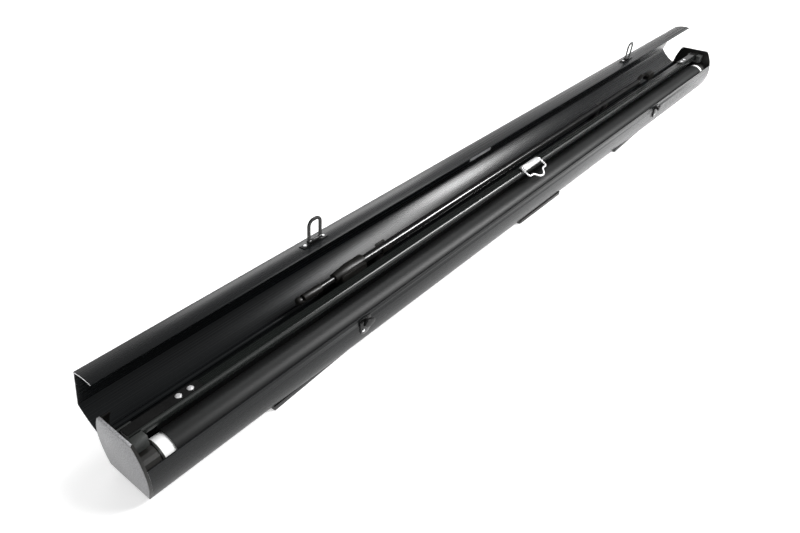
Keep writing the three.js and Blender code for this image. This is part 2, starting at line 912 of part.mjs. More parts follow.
// Turn knob: oval head, neck through the wall, and a head inside
function latchKnob(x) {
  const inside = -caseWall - seat;
  const neck = extrude(
    "z",
    circle(0, 0, spindleRadius, smallSteps),
    inside - spindleHeadHeight,
    spindleNeck + knobThickness / 2,
  );
  const headInside = extrude("z", circle(0, 0, spindleHead, smallSteps), inside - spindleHeadHeight, inside);
  const oval = circle(0, 0, 1, roundSteps).map(([u, v]) => [u * knobLong, v * knobShort]);
  const knob = extrude("z", oval, spindleNeck, spindleNeck + knobThickness);
  return onLatch(join(neck, headInside, knob), x);
}

// Swivel foot, a flat bar, and its pivot with a washer shoulder
const footTop = -seat / 3 - washerThickness - seat;
const footBottom = footTop - footThickness;

function footBar() {
  const outline = rectangle(-footHalfLength, -footHalfWidth, footHalfLength, footHalfWidth);
  const bar = extrude("z", outline, footBottom, footTop, [circle(0, 0, pivotBore)]);
  const depth = footBottom + counterboreDepth;
  const recess = extrude("z", circle(0, 0, counterbore), footBottom - cutSpare, depth);
  return cut(bar, recess);
}

function footPivot(x) {
  const low = footBottom + counterboreDepth - seat - pivotHeadHeight;
  const inside = caseWall + seat;
  const parts = [
    extrude("z", circle(x, 0, pivotRadius), low, inside + pivotHeadHeight),
    extrude("z", circle(x, 0, pivotHeadRadius), low, low + pivotHeadHeight),
    extrude("z", circle(x, 0, washerRadius), footTop + seat, -seat / 3),
    extrude("z", circle(x, 0, pivotHeadRadius), inside, inside + pivotHeadHeight),
  ];
  return join(...parts);
}

// Carry handle, folded flat under the case
const handleZ = -handleDrop;

function carryHandle() {
  const half = handleThickness / 2;
  const frontArc = arc(handleHalf - handleCorner, handleFront + handleCorner, handleCorner, -90, 0, cornerSteps);
  const outline = [
    ...frontArc,
    [handleHalf, handlePivotY],
    [-handleHalf, handlePivotY],
    ...frontArc.map(([x, y]) => [-x, y]).reverse(),
  ];
  const frame = extrude("z", outline, handleZ - half, handleZ + half);
  const window = rectangle(
    handleArm - handleHalf,
    handleFront + handleGrip,
    handleHalf - handleArm,
    handlePivotY + cutSpare,
  );
  const gap = extrude("z", window, handleZ - half - cutSpare, handleZ + half + cutSpare);
  const eyes = ends.map(([, side]) => {
    const from = side > 0 ? handleHalf - handleArm : -handleHalf;
    return extrude("x", circle(handlePivotY, handleZ, half, smallSteps), from, from + handleArm);
  });
  const bore = circle(handlePivotY, handleZ, handlePinBore, smallSteps);
  return cut(
    join(cut(frame, gap), ...eyes),
    extrude("x", bore, -handleHalf - cutSpare, handleHalf + cutSpare),
  );
}

// Bracket beside each arm of the handle, with its pin
function handleBracket(side) {
  const y = handlePivotY;
  const low = handleZ - handleThickness / 2;
  const from = handleHalf - handleArm - seat - handleBracketWidth;
  const block = extrude(
    "x",
    rectangle(y - handleBracketHalf, low, y + handleBracketHalf, -seat / 3),
    from,
    from + handleBracketWidth,
  );
  const pin = extrude("x", circle(y, handleZ, handlePinRadius, smallSteps), from + seat, handleHalf);
  return turnEnd(join(block, pin), side);
}

// Mast tubes, head, clamp and foot, drawn along X
function mastHead() {
  const made = turnedX(
    [
      [headNear, 0],
      [headNear, headRadius - mastInnerWall],
      [headNear + mastInnerWall * 2, headRadius],
      [headFar, headRadius],
      [headFar, 0],
    ],
    mastY,
    mastZ,
  );
  const x = headNear + headSlotInset;
  const slot = extrude(
    "x",
    rectangle(
      mastY - headRadius - cutSpare,
      mastZ + headRadius - headSlotDepth,
      mastY + headRadius + cutSpare,
      mastZ + headRadius + cutSpare,
    ),
    x,
    x + headSlotWidth,
  );
  return cut(made, slot);
}

function mastInner() {
  return tubeX(mastY, mastZ, mastInnerRadius, mastInnerWall, headFar + seat, mastInnerFar);
}

function mastOuter() {
  return tubeX(mastY, mastZ, mastRadius, mastWall, mastOuterNear, mastOuterFar);
}

// Clamp collar: steps up from the inner tube to the outer one, with a flat for the lever
function mastClamp() {
  const made = turnedX(
    [
      [clampNear, 0],
      [clampNear, clampNearRadius],
      [clampWide, clampRadius],
      [clampFar, clampRadius],
      [clampFar, 0],
    ],
    mastY,
    mastZ,
  );
  const smallBore = extrude(
    "x",
    circle(mastY, mastZ, mastInnerRadius + seat),
    clampNear - cutSpare,
    mastOuterNear,
  );
  const bore = extrude(
    "x",
    circle(mastY, mastZ, mastRadius + seat / 3),
    mastOuterNear - seat,
    clampFar + cutSpare,
  );
  const flat = extrude(
    "x",
    rectangle(mastY - clampRadius - cutSpare, mastZ - clampRadius, leverY, mastZ + clampRadius),
    clampNear - cutSpare,
    clampFar + cutSpare,
  );
  const x = clampFar - leverPinInset;
  const pin = extrude(
    "y",
    circle(mastZ, x, leverPinRadius, smallSteps),
    leverY - leverGap - leverWidth,
    leverY + seat,
  );
  return join(cut(made, smallBore, bore, flat), pin);
}

// The lever's side of the clamp is flat here
const leverY = mastY - mastRadius - mastWall * 2;

function clampLever() {
  const x = clampFar - leverPinInset;
  const to = leverY - leverGap;
  const outline = roundedRectangle(
    mastZ - leverHalf,
    x - leverLength,
    mastZ + leverHalf,
    x + leverHalf,
    leverHalf / 2,
  );
  return extrude("y", outline, to - leverWidth, to, [circle(mastZ, x, leverPinBore, smallSteps)]);
}

// Foot of the mast: a sleeve in the tube, an arched strap and the block that enters the socket
function mastFoot() {
  const inside = mastRadius - mastWall - seat;
  const sleeve = extrude("x", circle(mastY, mastZ, inside), mastOuterFar - footTube, mastOuterFar + forkWall);
  const start = mastOuterFar + seat;
  const collar = extrude("x", circle(mastY, mastZ, mastRadius), start, mastOuterFar + forkWall);
  const run = forkFar + forkWall - start;
  const bow = (rise) =>
    Array.from({ length: archSteps + 1 }, (_, i) => {
      const share = i / archSteps;
      return [mastZ + rise + archRise * Math.sin(Math.PI * share), start + run * share];
    });
  const strap = extrude(
    "y",
    [...bow(-forkWall / 2), ...bow(forkWall / 2).reverse()],
    mastY - forkHalf,
    mastY + forkHalf,
  );
  const block = extrude(
    "x",
    rectangle(mastY - blockHalf, mastZ - blockHalf, mastY + blockHalf, mastZ + blockHalf),
    forkFar,
    blockFar,
  );
  return join(sleeve, collar, strap, block);
}

// Clip on the back wall, open at the top so that the mast lifts out
function mastClip(side) {
  const inner = mastRadius + clipGap;
  const outer = inner + clipWall;
  const cup = [
    ...arc(mastY, mastZ, outer, 180, 360, smallSteps),
    [mastY + outer, clipBackTop - clipFlare],
    [mastY + outer + clipFlare / 2, clipBackTop],
    [mastY + inner + clipFlare / 2, clipBackTop],
    [mastY + inner, clipBackTop - clipFlare],
    ...arc(mastY, mastZ, inner, 360, 180, smallSteps),
    [mastY - inner, clipFrontTop],
    [mastY - outer, clipFrontTop],
  ];
  const low = clipFootTop - clipFootLength;
  const wall = sideArc(low, clipFootTop, -caseWall - seat, smallSteps / 2);
  const foot = [...wall, ...sideArc(low, clipFootTop, -caseWall - seat - clipWall, smallSteps / 2).reverse()];
  const t = rad(clipArmAngle);
  const start = [mastY + (inner + clipWall / 2) * Math.cos(t), mastZ + (inner + clipWall / 2) * Math.sin(t)];
  const middle = clipFootTop - clipFootLength / 2;
  const end = [sideAt(middle, -caseWall - seat - clipWall / 2), middle];
  const size = Math.hypot(end[0] - start[0], end[1] - start[1]);
  const u = [((start[1] - end[1]) / size) * (clipWall / 2), ((end[0] - start[0]) / size) * (clipWall / 2)];
  const arm = [
    [start[0] - u[0], start[1] - u[1]],
    [end[0] - u[0], end[1] - u[1]],
    [end[0] + u[0], end[1] + u[1]],
    [start[0] + u[0], start[1] + u[1]],
  ];
  const x = side * clipX;
  return join(...[cup, foot, arm].map((outline) => extrude("x", outline, x - clipHalf, x + clipHalf)));
}

// Socket on the case's floor that holds the mast upright in use
function mastSocket() {
  const floor = caseWall + seat;
  const flange = extrude(
    "z",
    rectangle(-socketFlange, socketY - socketHalf, socketFlange, socketY + socketHalf),
    floor,
    floor + socketFlangeHeight,
  );
  const post = extrude(
    "z",
    roundedRectangle(-socketHalf, socketY - socketHalf, socketHalf, socketY + socketHalf, clipWall),
    floor,
    socketTop,
  );
  const bore = extrude(
    "z",
    rectangle(-socketBore, socketY - socketBore, socketBore, socketY + socketBore),
    floor + socketFloor,
    socketTop + cutSpare,
  );
  return cut(join(flange, post), bore);
}

// The knee of the open lid and the knobs set how far the part reaches to the back and to the front
function backReach() {
  const z = caseHeight + lidGap + lidWall - hingeZ;
  const y = sideAt(caseHeight + lidGap + lidWall, lidGap + lidWall) - hingeY;
  const t = rad(openAngle);
  return hingeY + y * Math.cos(t) + z * Math.sin(t);
}

const frontReach = sideAt(latchSpindleHeight, 0) + spindleNeck + knobThickness;
caseFrame.position.set(0, (frontReach - backReach()) / 2, standHeight);
lidFrame.position.set(0, hingeY, hingeZ);
lidFrame.rotation.x = -rad(openAngle);

// Pieces of the case
put(caseFrame, "lower_case", lowerCase(), "aluminium");
for (const [name, side] of ends) {
  put(caseFrame, "cap_face_" + name, capFace(side), "face");
  put(caseFrame, "cap_body_" + name, capBody(side), "moulding");
  put(caseFrame, "slat_cradle_" + name, slatCradle(side), "grey");
  put(caseFrame, "latch_plate_" + name, latchPlate(side * haspX), "black");
  put(caseFrame, "latch_knob_" + name, latchKnob(side * haspX), "black");
  const rivetOffset = seat * 2 + latchWall;
  const rivetX = side * haspX + latchRivetX;
  const rivet = rivetFront(rivetX, latchRivetHeight, rivetOffset, smallRivetRadius, smallRivetHeight);
  put(caseFrame, "latch_rivet_" + name, rivet, "chrome");
  put(caseFrame, "handle_bracket_" + name, handleBracket(side), "black");
  put(caseFrame, "mast_clip_" + name, mastClip(side), "black");
  put(caseFrame, "foot_pivot_" + name, footPivot(side * footX), "steel");
  const foot = new THREE.Group();
  foot.position.set(side * footX, 0, 0);
  foot.rotation.z = rad(footAngle);
  caseFrame.add(foot);
  put(foot, "foot_" + name, footBar(), "black");
}
put(caseFrame, "carry_handle", carryHandle(), "black");
put(caseFrame, "mast_socket", mastSocket(), "black");

// Roller and screen
put(caseFrame, "roller_tube", rollerTube(), "tube");
put(caseFrame, "roller_plug_near", rollerPlug(-1), "moulding");
put(caseFrame, "roller_plug_far", rollerPlug(1), "moulding");
put(caseFrame, "spring_shaft", springShaft(), "steel");
put(caseFrame, "shaft_bearing", shaftBearing(), "moulding");
put(caseFrame, "winding_spring", windingSpring(), "steel");
put(caseFrame, "screen_roll", screenRoll(), "fabric");
put(caseFrame, "screen_leader", screenLeader(), "fabric");

// Slat and bail
put(caseFrame, "slat", slatBar(), "aluminium");
for (const [name, side] of ends) {
  put(caseFrame, "slat_cover_" + name, slatCover(side), "black");
  for (const [i, letter] of ["a", "b"].entries()) {
    const x = side * (halfLength - slatRivetNear - slatRivetPitch * i);
    const y = (coverFrontY + slatBack) / 2;
    const z = slatTop - slatShoulder + seat + coverRise;
    const rivet = rivetUp(x, y, z, rivetHeadRadius, rivetHeadHeight);
    put(caseFrame, "slat_rivet_" + name + "_" + letter, rivet, "chrome");
  }
}
put(caseFrame, "bail_bracket", bailBracket(), "chrome");
const bail = put(caseFrame, "bail_wire", bailWire(), "chrome");
bail.position.set(0, bailPivotY, bailPivotZ);
bail.rotation.x = rad(bailSlope);

// Mast
put(caseFrame, "mast_outer_tube", mastOuter(), "black");
put(caseFrame, "mast_inner_tube", mastInner(), "black");
put(caseFrame, "mast_head", mastHead(), "moulding");
put(caseFrame, "mast_clamp", mastClamp(), "moulding");
put(caseFrame, "clamp_lever", clampLever(), "moulding");
put(caseFrame, "mast_foot", mastFoot(), "moulding");

// Lid pieces are drawn shut, and the lid's group turns them open
function onLid(name, geometry, paintName) {
  return put(lidFrame, name, geometry.translate(0, -hingeY, -hingeZ), paintName);
}

onLid("lid", lid(), "aluminium");
onLid("lid_tab", lidTab(), "aluminium");
for (const [name, side] of ends) {
  const x = side * haspX;
  const rivetOffset = lidGap + lidWall + haspBaseWall + seat * 2;
  onLid("hasp_base_" + name, haspBase(x), "black");
  for (const [letter, turn] of [["a", -1], ["b", 1]]) {
    const rivetX = x + turn * haspRivetX;
    const rivet = rivetFront(rivetX, haspHeight, rivetOffset, smallRivetRadius, smallRivetHeight);
    onLid("hasp_rivet_" + name + "_" + letter, rivet, "chrome");
  }
  const loop = put(lidFrame, "hasp_loop_" + name, haspLoop(), "steel");
  loop.position.set(x, haspPivotY - hingeY, haspHeight - hingeZ);
  loop.rotation.x = rad(haspLean + openAngle - 270);
}

export default root;
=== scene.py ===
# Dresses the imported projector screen: smooth and rounded pieces, procedural materials, studio and camera.
# Metres. +X runs along the case, +Y to the hinge side and +Z up.
import json
import math

import bmesh
import bpy
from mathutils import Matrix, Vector

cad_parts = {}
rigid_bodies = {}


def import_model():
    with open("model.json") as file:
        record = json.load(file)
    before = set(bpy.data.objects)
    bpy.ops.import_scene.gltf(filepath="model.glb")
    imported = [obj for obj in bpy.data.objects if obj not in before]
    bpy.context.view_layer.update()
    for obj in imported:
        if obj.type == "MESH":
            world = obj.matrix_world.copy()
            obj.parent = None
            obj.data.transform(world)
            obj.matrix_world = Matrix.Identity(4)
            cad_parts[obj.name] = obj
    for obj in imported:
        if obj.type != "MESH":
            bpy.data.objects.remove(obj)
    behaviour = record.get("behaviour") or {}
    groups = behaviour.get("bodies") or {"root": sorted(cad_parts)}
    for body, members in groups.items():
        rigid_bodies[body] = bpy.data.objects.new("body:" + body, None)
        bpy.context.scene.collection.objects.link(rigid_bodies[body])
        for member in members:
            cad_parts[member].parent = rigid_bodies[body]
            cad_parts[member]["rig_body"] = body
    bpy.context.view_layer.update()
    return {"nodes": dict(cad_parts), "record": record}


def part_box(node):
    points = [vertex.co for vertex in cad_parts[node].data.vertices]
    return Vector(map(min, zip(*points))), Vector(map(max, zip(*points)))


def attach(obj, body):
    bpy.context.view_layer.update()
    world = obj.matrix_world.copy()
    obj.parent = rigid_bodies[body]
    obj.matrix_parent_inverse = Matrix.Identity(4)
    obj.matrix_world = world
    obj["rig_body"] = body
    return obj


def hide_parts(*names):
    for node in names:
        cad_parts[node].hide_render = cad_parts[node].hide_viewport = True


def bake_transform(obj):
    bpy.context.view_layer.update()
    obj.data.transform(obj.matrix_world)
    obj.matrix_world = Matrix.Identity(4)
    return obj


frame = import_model()
nodes = frame["nodes"]
slot_of = {s["node"]: s["material_slot"] for s in frame["record"]["subparts"]}
mm = 0.001

# Camera, found by fitting the part's corners to the photograph; its pitch and yaw are in degrees
FOCAL_PIXELS = 697.62
IMAGE_WIDTH = 800
SENSOR_WIDTH = 36
CAMERA_PLACE = (-1.13798, -0.62358, 0.71172)
CAMERA_PITCH = 34.604
CAMERA_YAW = 39.436
CAMERA_CLIP = 100

# Floor
FLOOR_HALF = 30
FLOOR_WHITE = 0.7
FLOOR_ROUGH = 0.9
FLOOR_GLOW = 0.55

# Sky: brightness on its dark side, on its bright side and overhead
SKY_DARK = 0.22
SKY_BRIGHT = 1.0
SKY_TOP = 0.3
# The bright side's direction in degrees from +X, and the cosines to it between which the sky brightens
SKY_BRIGHT_YAW = 65
SKY_SIDE_START = 0.25
SKY_SIDE_END = 0.9
# Sines of the heights between which the sides turn into the sky overhead
SKY_LOW_END = 0.45
SKY_TOP_START = 0.85

# Lamps: the point they light, yaw and height of their direction in degrees, width, height and radiance
LAMP_DISTANCE = 5
LAMPS = {
    "lamp_inside": ((-0.1, 0.07, 0.07), -38, 31, 1.3, 1.0, 52),
    "lamp_near": ((-0.4, 0.07, 0.07), -44, 47, 1.6, 1.6, 22),
    "lamp_back": ((-0.4, 0, 0.12), 62, 24, 3.2, 1.2, 4),
    "lamp_top": ((0, 0, 0.05), 25, 62, 2.5, 2.5, 4.5),
    "lamp_end": ((-0.92, 0, 0.05), 190, 20, 2.2, 2.2, 5),
}

# Roller and the screen wound on it; the roller's axis is given in the case's own frame
ROLLER_Y = -21 * mm
ROLLER_Z = 32 * mm
TUBE_RADIUS = 23 * mm
WOUND_GAP = 0.3 * mm
WOUND_DEPTH = 2.4 * mm
ROLL_RADIUS = TUBE_RADIUS + WOUND_GAP + WOUND_DEPTH
WOUND_TURNS = 8
TURN_STEPS = 72
FABRIC = 0.24 * mm
SCREEN_HALF = 870 * mm

# Web of screen up into the slat's slot, in the case's own frame
SLOT_Y = -8 * mm
SLOT_LOW = 67 * mm
SLOT_HIGH = 71.7 * mm
WEB_STEPS = 10

# Bail wire: its two legs, the shoulders and the tip that points forward, sloping down by so many degrees
WIRE_RADIUS = 2 * mm
WIRE_SIDES = 14
WIRE_BEND_STEPS = 6
BAIL_HALF = 32 * mm
BAIL_REACH = 23 * mm
BAIL_TIP_REACH = 35 * mm
BAIL_TIP_HALF = 12 * mm
BAIL_BEND = 5 * mm
BAIL_SLOPE = 28
# The most of a straight side that the bend at one of its ends may take
BEND_SHARE = 0.45

# Smooth shading keeps edges that turn by more degrees than these
SHARP_ANGLE = 32
SHEET_SHARP_ANGLE = 45
WIRE_SHARP_ANGLE = 60

# Rounding: edges that turn by more degrees than ROUND_ANGLE are rounded, and flatter ones than
# DISSOLVE_ANGLE are taken out first, as are doubled points
ROUND_ANGLE = 30
ROUND_SEGMENTS = 2
ROUND_PROFILE = 0.5
DISSOLVE_ANGLE = 0.4
DOUBLE_REACH = 0.002 * mm
# Widths of the rounded edges of pieces that come in pairs, and of single ones; 0 only smooths
PAIR_ROUNDING = {
    "cap_face": 0.5 * mm,
    "slat_cradle": 0.5 * mm,
    "latch_plate": 0.5 * mm,
    "hasp_loop": 0.5 * mm,
    "hasp_base": 0.5 * mm,
    "foot": 0.5 * mm,
    "latch_knob": 1.2 * mm,
    "mast_clip": 0.3 * mm,
}
SINGLE_ROUNDING = {
    "lid": 0.2 * mm,
    "lower_case": 0.2 * mm,
    "mast_head": 0.6 * mm,
    "mast_clamp": 0.8 * mm,
    "mast_foot": 0.6 * mm,
    "clamp_lever": 0.8 * mm,
    "carry_handle": 0.8 * mm,
    "lid_tab": 0.2 * mm,
    "bail_bracket": 0.4 * mm,
    "mast_inner_tube": 0,
    "mast_outer_tube": 0,
    "roller_tube": 0,
}
# The slat, with a facet cut along its ridge, whose points lie within a reach of its very top and front
SLAT_ROUNDING = 0.2 * mm
SLAT_CROWN = 1.1 * mm
CROWN_REACH = 0.3 * mm

# Scales of the noise in the finishes, along X, Y and Z
LENGTHWISE = (2, 900, 900)
FINE = (1500, 1500, 1500)
WEAVE = (1800, 1800, 1800)
SPECKLE = (450, 450, 450)
CLOUDS = (30, 30, 30)
LONG_CLOUDS = (3, 12, 12)
CLOTH_CLOUDS = (8, 20, 20)
# Noise keeps mostly between these two values; its clouds have more detail than its grain
NOISE_LOW = 0.3
NOISE_HIGH = 0.7
CLOUD_DETAIL = 3
GRAIN_DETAIL = 2

# Depth of each finish's grain in relief
RELIEF = {
    "case_black": 0.0005 * mm,
    "slat_black": 0.0015 * mm,
    "face_grey": 0.01 * mm,
    "moulding_black": 0.05 * mm,
    "cradle_grey": 0.04 * mm,
    "tube_white": 0.01 * mm,
    "screen_black": 0.01 * mm,
    "steel": 0.01 * mm,
    "chrome": 0.005 * mm,
    "strip_grey": 0.01 * mm,
    "latch_dark": 0.02 * mm,
    "bar_black": 0.001 * mm,
}
# Gloss of a surface whose finish names none
PLAIN_GLOSS = 0.5

# Bare metal at cut ends: its roughness, and the sizes of a normal's X part between which it sets in
CUT_ROUGH = 0.3
CUT_START = 0.85
CUT_END = 0.95


def case_origin():
    """The case frame's y and z, found from the roller tube and from the lower case."""
    low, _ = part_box("lower_case")
    first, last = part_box("roller_tube")
    return Vector((0, (first.y + last.y) / 2 - ROLLER_Y, low.z))


ORIGIN = case_origin()


# Materials
def new_material(name):
    made = bpy.data.materials.new(name)
    made.use_nodes = True
    tree = made.node_tree
    shader = tree.nodes["Principled BSDF"]
    return made, tree, shader


def noise(tree, scale, detail):
    """Noise in the part's own metres, stretched by a scale for each axis."""
    place = tree.nodes.new("ShaderNodeTexCoord")
    mapping = tree.nodes.new("ShaderNodeMapping")
    mapping.inputs["Scale"].default_value = scale
    made = tree.nodes.new("ShaderNodeTexNoise")
    made.inputs["Scale"].default_value = 1
    made.inputs["Detail"].default_value = detail
    tree.links.new(place.outputs["Object"], mapping.inputs["Vector"])
    tree.links.new(mapping.outputs["Vector"], made.inputs["Vector"])
    return made.outputs["Fac"]


def spread(tree, value, low, high, start=NOISE_LOW, end=NOISE_HIGH):
    """Low to high, as the value goes from start to end."""
    made = tree.nodes.new("ShaderNodeMapRange")
    made.inputs["From Min"].default_value = start
    made.inputs["From Max"].default_value = end
    made.inputs["To Min"].default_value = low
    made.inputs["To Max"].default_value = high
    tree.links.new(value, made.inputs["Value"])
    return made.outputs["Result"]


def tint(tree, value, dark, light):
    """Dark to light, as the value goes from 0 to 1."""
    made = tree.nodes.new("ShaderNodeMix")
    made.data_type = "RGBA"
    made.inputs["A"].default_value = (*dark, 1)
    made.inputs["B"].default_value = (*light, 1)
    tree.links.new(value, made.inputs["Factor"])
    return made.outputs["Result"]


def grey(value):
    return value, value, value


def bump(tree, shader, height, depth):
    made = tree.nodes.new("ShaderNodeBump")
    made.inputs["Strength"].default_value = 1
    made.inputs["Distance"].default_value = depth
    tree.links.new(height, made.inputs["Height"])
    tree.links.new(made.outputs["Normal"], shader.inputs["Normal"])


def surface(name, dark, light, rough, grain, clouds=CLOUDS, metal=0, gloss=PLAIN_GLOSS):
    """A material with clouds of colour and a fine grain in gloss and relief."""
    made, tree, shader = new_material(name)
    shader.inputs["Metallic"].default_value = metal
    shader.inputs["Specular IOR Level"].default_value = gloss
    patches = spread(tree, noise(tree, clouds, CLOUD_DETAIL), 0, 1)
    fine = noise(tree, grain, GRAIN_DETAIL)
    tree.links.new(tint(tree, patches, dark, light), shader.inputs["Base Color"])
    tree.links.new(spread(tree, fine, *rough), shader.inputs["Roughness"])
    bump(tree, shader, fine, RELIEF[name])
    return made


def mixed_in(tree, socket, share, kind, value):
    """Turn what a socket gets into the value, by the share."""
    mix = tree.nodes.new("ShaderNodeMix")
    mix.data_type = kind
    mix.inputs["B"].default_value = value
    tree.links.new(share, mix.inputs["Factor"])
    tree.links.new(socket.links[0].from_socket, mix.inputs["A"])
    tree.links.new(mix.outputs["Result"], socket)


def cut_ends(made, metal_colour):
    """Bare metal where the extrusion was cut across, at faces that look along X."""
    tree = made.node_tree
    shader = tree.nodes["Principled BSDF"]
    geometry = tree.nodes.new("ShaderNodeNewGeometry")
    split = tree.nodes.new("ShaderNodeSeparateXYZ")
    size = tree.nodes.new("ShaderNodeMath")
    size.operation = "ABSOLUTE"
    tree.links.new(geometry.outputs["True Normal"], split.inputs["Vector"])
    tree.links.new(split.outputs["X"], size.inputs[0])
    share = spread(tree, size.outputs["Value"], 0, 1, CUT_START, CUT_END)
    mixed_in(tree, shader.inputs["Base Color"], share, "RGBA", (*metal_colour, 1))
    mixed_in(tree, shader.inputs["Roughness"], share, "FLOAT", CUT_ROUGH)
    return made


def case_black():
    """Black extrusion of the case and lid, with fine lines drawn lengthwise."""
    made = surface(
        "case_black",
        dark=(0.005, 0.0055, 0.006),
        light=(0.009, 0.01, 0.0105),
        rough=(0.26, 0.28),
        grain=LENGTHWISE,
        clouds=LONG_CLOUDS,
        gloss=0.22,
    )
    return cut_ends(made, metal_colour=(0.75, 0.75, 0.77))


def slat_black():
    """Black extrusion of the slat, glossier than the case."""
    made = surface(
        "slat_black",
        dark=(0.006, 0.007, 0.0065),
        light=(0.012, 0.014, 0.013),
        rough=(0.2, 0.3),
        grain=LENGTHWISE,
        clouds=LONG_CLOUDS,
        gloss=0.4,
    )
    return cut_ends(made, metal_colour=(0.7, 0.7, 0.72))


def face_grey():
    """Speckled silver grey of the end plates."""
    return surface(
        "face_grey",
        dark=(0.13, 0.13, 0.135),
        light=(0.36, 0.36, 0.372),
        rough=(0.3, 0.38),
        grain=FINE,
        clouds=SPECKLE,
    )


def moulding_black():
    """Black moulded plastic of the end bodies, clips, handle and mast fittings."""
    return surface(
        "moulding_black",
        dark=(0.007, 0.0065, 0.006),
        light=(0.014, 0.0135, 0.012),
        rough=(0.3, 0.45),
        grain=FINE,
        gloss=0.35,
    )


def cradle_grey():
    """Dark grey plastic of the slat's cradles."""
    return surface(
        "cradle_grey",
        dark=(0.02, 0.022, 0.021),
        light=(0.035, 0.038, 0.036),
        rough=(0.4, 0.5),
        grain=FINE,
    )


def tube_white():
    """White paint of the roller tube."""
    return surface(
        "tube_white",
        dark=(0.8, 0.81, 0.8),
        light=(0.86, 0.86, 0.86),
        rough=(0.3, 0.4),
        grain=LENGTHWISE,
    )


def screen_black():
    """Black back and border of the screen's cloth, with a fine weave."""
    return surface(
        "screen_black",
        dark=(0.007, 0.0075, 0.0075),
        light=(0.012, 0.0125, 0.0125),
        rough=(0.38, 0.44),
        grain=WEAVE,
        clouds=CLOTH_CLOUDS,
        gloss=0.16,
    )


def steel():
    """Plain steel of the foot pivots, the spring and its shaft."""
    return surface(
        "steel",
        dark=(0.42, 0.42, 0.43),
        light=(0.55, 0.55, 0.56),
        rough=(0.25, 0.4),
        grain=FINE,
        metal=1,
    )


def chrome():
    """Bright plating of the bail, its bracket and the rivets."""
    return surface(
        "chrome",
        dark=(0.82, 0.82, 0.83),
        light=(0.9, 0.9, 0.91),
        rough=(0.12, 0.2),
        grain=FINE,
        metal=0.55,
    )


def strip_grey():
    """Pale grey of the catch strip in the lid's lip."""
    return surface(
        "strip_grey",
        dark=(0.4, 0.4, 0.41),
        light=(0.5, 0.5, 0.51),
        rough=(0.3, 0.4),
        grain=LENGTHWISE,
        metal=0.6,
    )


def latch_dark():
    """Glossy black of the latches, knobs and hasps."""
    return surface(
        "latch_dark",
        dark=(0.004, 0.004, 0.004),
        light=(0.007, 0.007, 0.007),
        rough=(0.16, 0.28),
        grain=FINE,
        gloss=0.3,
    )


def bar_black():
    """Glossy black of the mast's tubes, the feet and the slat's covers."""
    return surface(
        "bar_black",
        dark=(0.008, 0.008, 0.008),
        light=(0.012, 0.012, 0.012),
        rough=(0.14, 0.18),
        grain=LENGTHWISE,
    )


# Meshes
def new_object(name, mesh, slot, body=None):
    """A piece in its slot's finish, which rides on the body if one is given."""
    made = bpy.data.objects.new(name, mesh)
    bpy.context.scene.collection.objects.link(made)
    if body:
        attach(made, body)
    mesh.materials.append(finish[slot])
    return made


def shade(mesh, angle):
    """Smooth faces, with sharp edges where two faces meet at more than the angle."""
    mesh.polygons.foreach_set("use_smooth", [True] * len(mesh.polygons))
    work = bmesh.new()
    work.from_mesh(mesh)
    for edge in work.edges:
        joins_two = len(edge.link_faces) == 2
        edge.smooth = joins_two and edge.calc_face_angle() < math.radians(angle)
    work.to_mesh(mesh)
    work.free()


def mesh_of(name, points, faces):
    """A mesh whose faces all look outward."""
    mesh = bpy.data.meshes.new(name)
    mesh.from_pydata([tuple(p) for p in points], [], faces)
    work = bmesh.new()
    work.from_mesh(mesh)
    bmesh.ops.recalc_face_normals(work, faces=work.faces)
    work.to_mesh(mesh)
    work.free()
    return mesh


def strip_along_x(name, section, half, thickness):
    """A thin sheet along X whose middle follows the section's points in (y, z)."""
    count = len(section)
    outer = []
    inner = []
    for i, (y, z) in enumerate(section):
        before = section[max(i - 1, 0)]
        after = section[min(i + 1, count - 1)]
        ty, tz = after[0] - before[0], after[1] - before[1]
        size = math.hypot(ty, tz)
        ny, nz = -tz / size * thickness / 2, ty / size * thickness / 2
        outer.append((y + ny, z + nz))
        inner.append((y - ny, z - nz))
    ring = outer + inner[::-1]
    points = [(-half, y, z) for y, z in ring] + [(half, y, z) for y, z in ring]
    total = len(ring)
    faces = [(i, (i + 1) % total, total + (i + 1) % total, total + i) for i in range(total)]
    for base in (0, total):
        faces += [
            (base + i, base + i + 1, base + total - 2 - i, base + total - 1 - i)
            for i in range(count - 1)
        ]
    mesh = mesh_of(name, points, faces)
    shade(mesh, SHEET_SHARP_ANGLE)
    return mesh


# Rounded pieces
def bevel(work, edges, width, segments):
    bmesh.ops.bevel(
        work,
        geom=edges,
        offset=width,
        segments=segments,
        profile=ROUND_PROFILE,
        affect="EDGES",
        clamp_overlap=True,
    )


def ridge_edges(work):
    """The edges along the front of a piece's very top."""
    top = max(v.co.z for v in work.verts) - CROWN_REACH
    front = min(v.co.y for v in work.verts if v.co.z > top) + CROWN_REACH
    return [e for e in work.edges if all(v.co.z > top and v.co.y < front for v in e.verts)]


def sharp_edges(work):
    limit = math.radians(ROUND_ANGLE)
    return [e for e in work.edges if len(e.link_faces) == 2 and e.calc_face_angle() > limit]


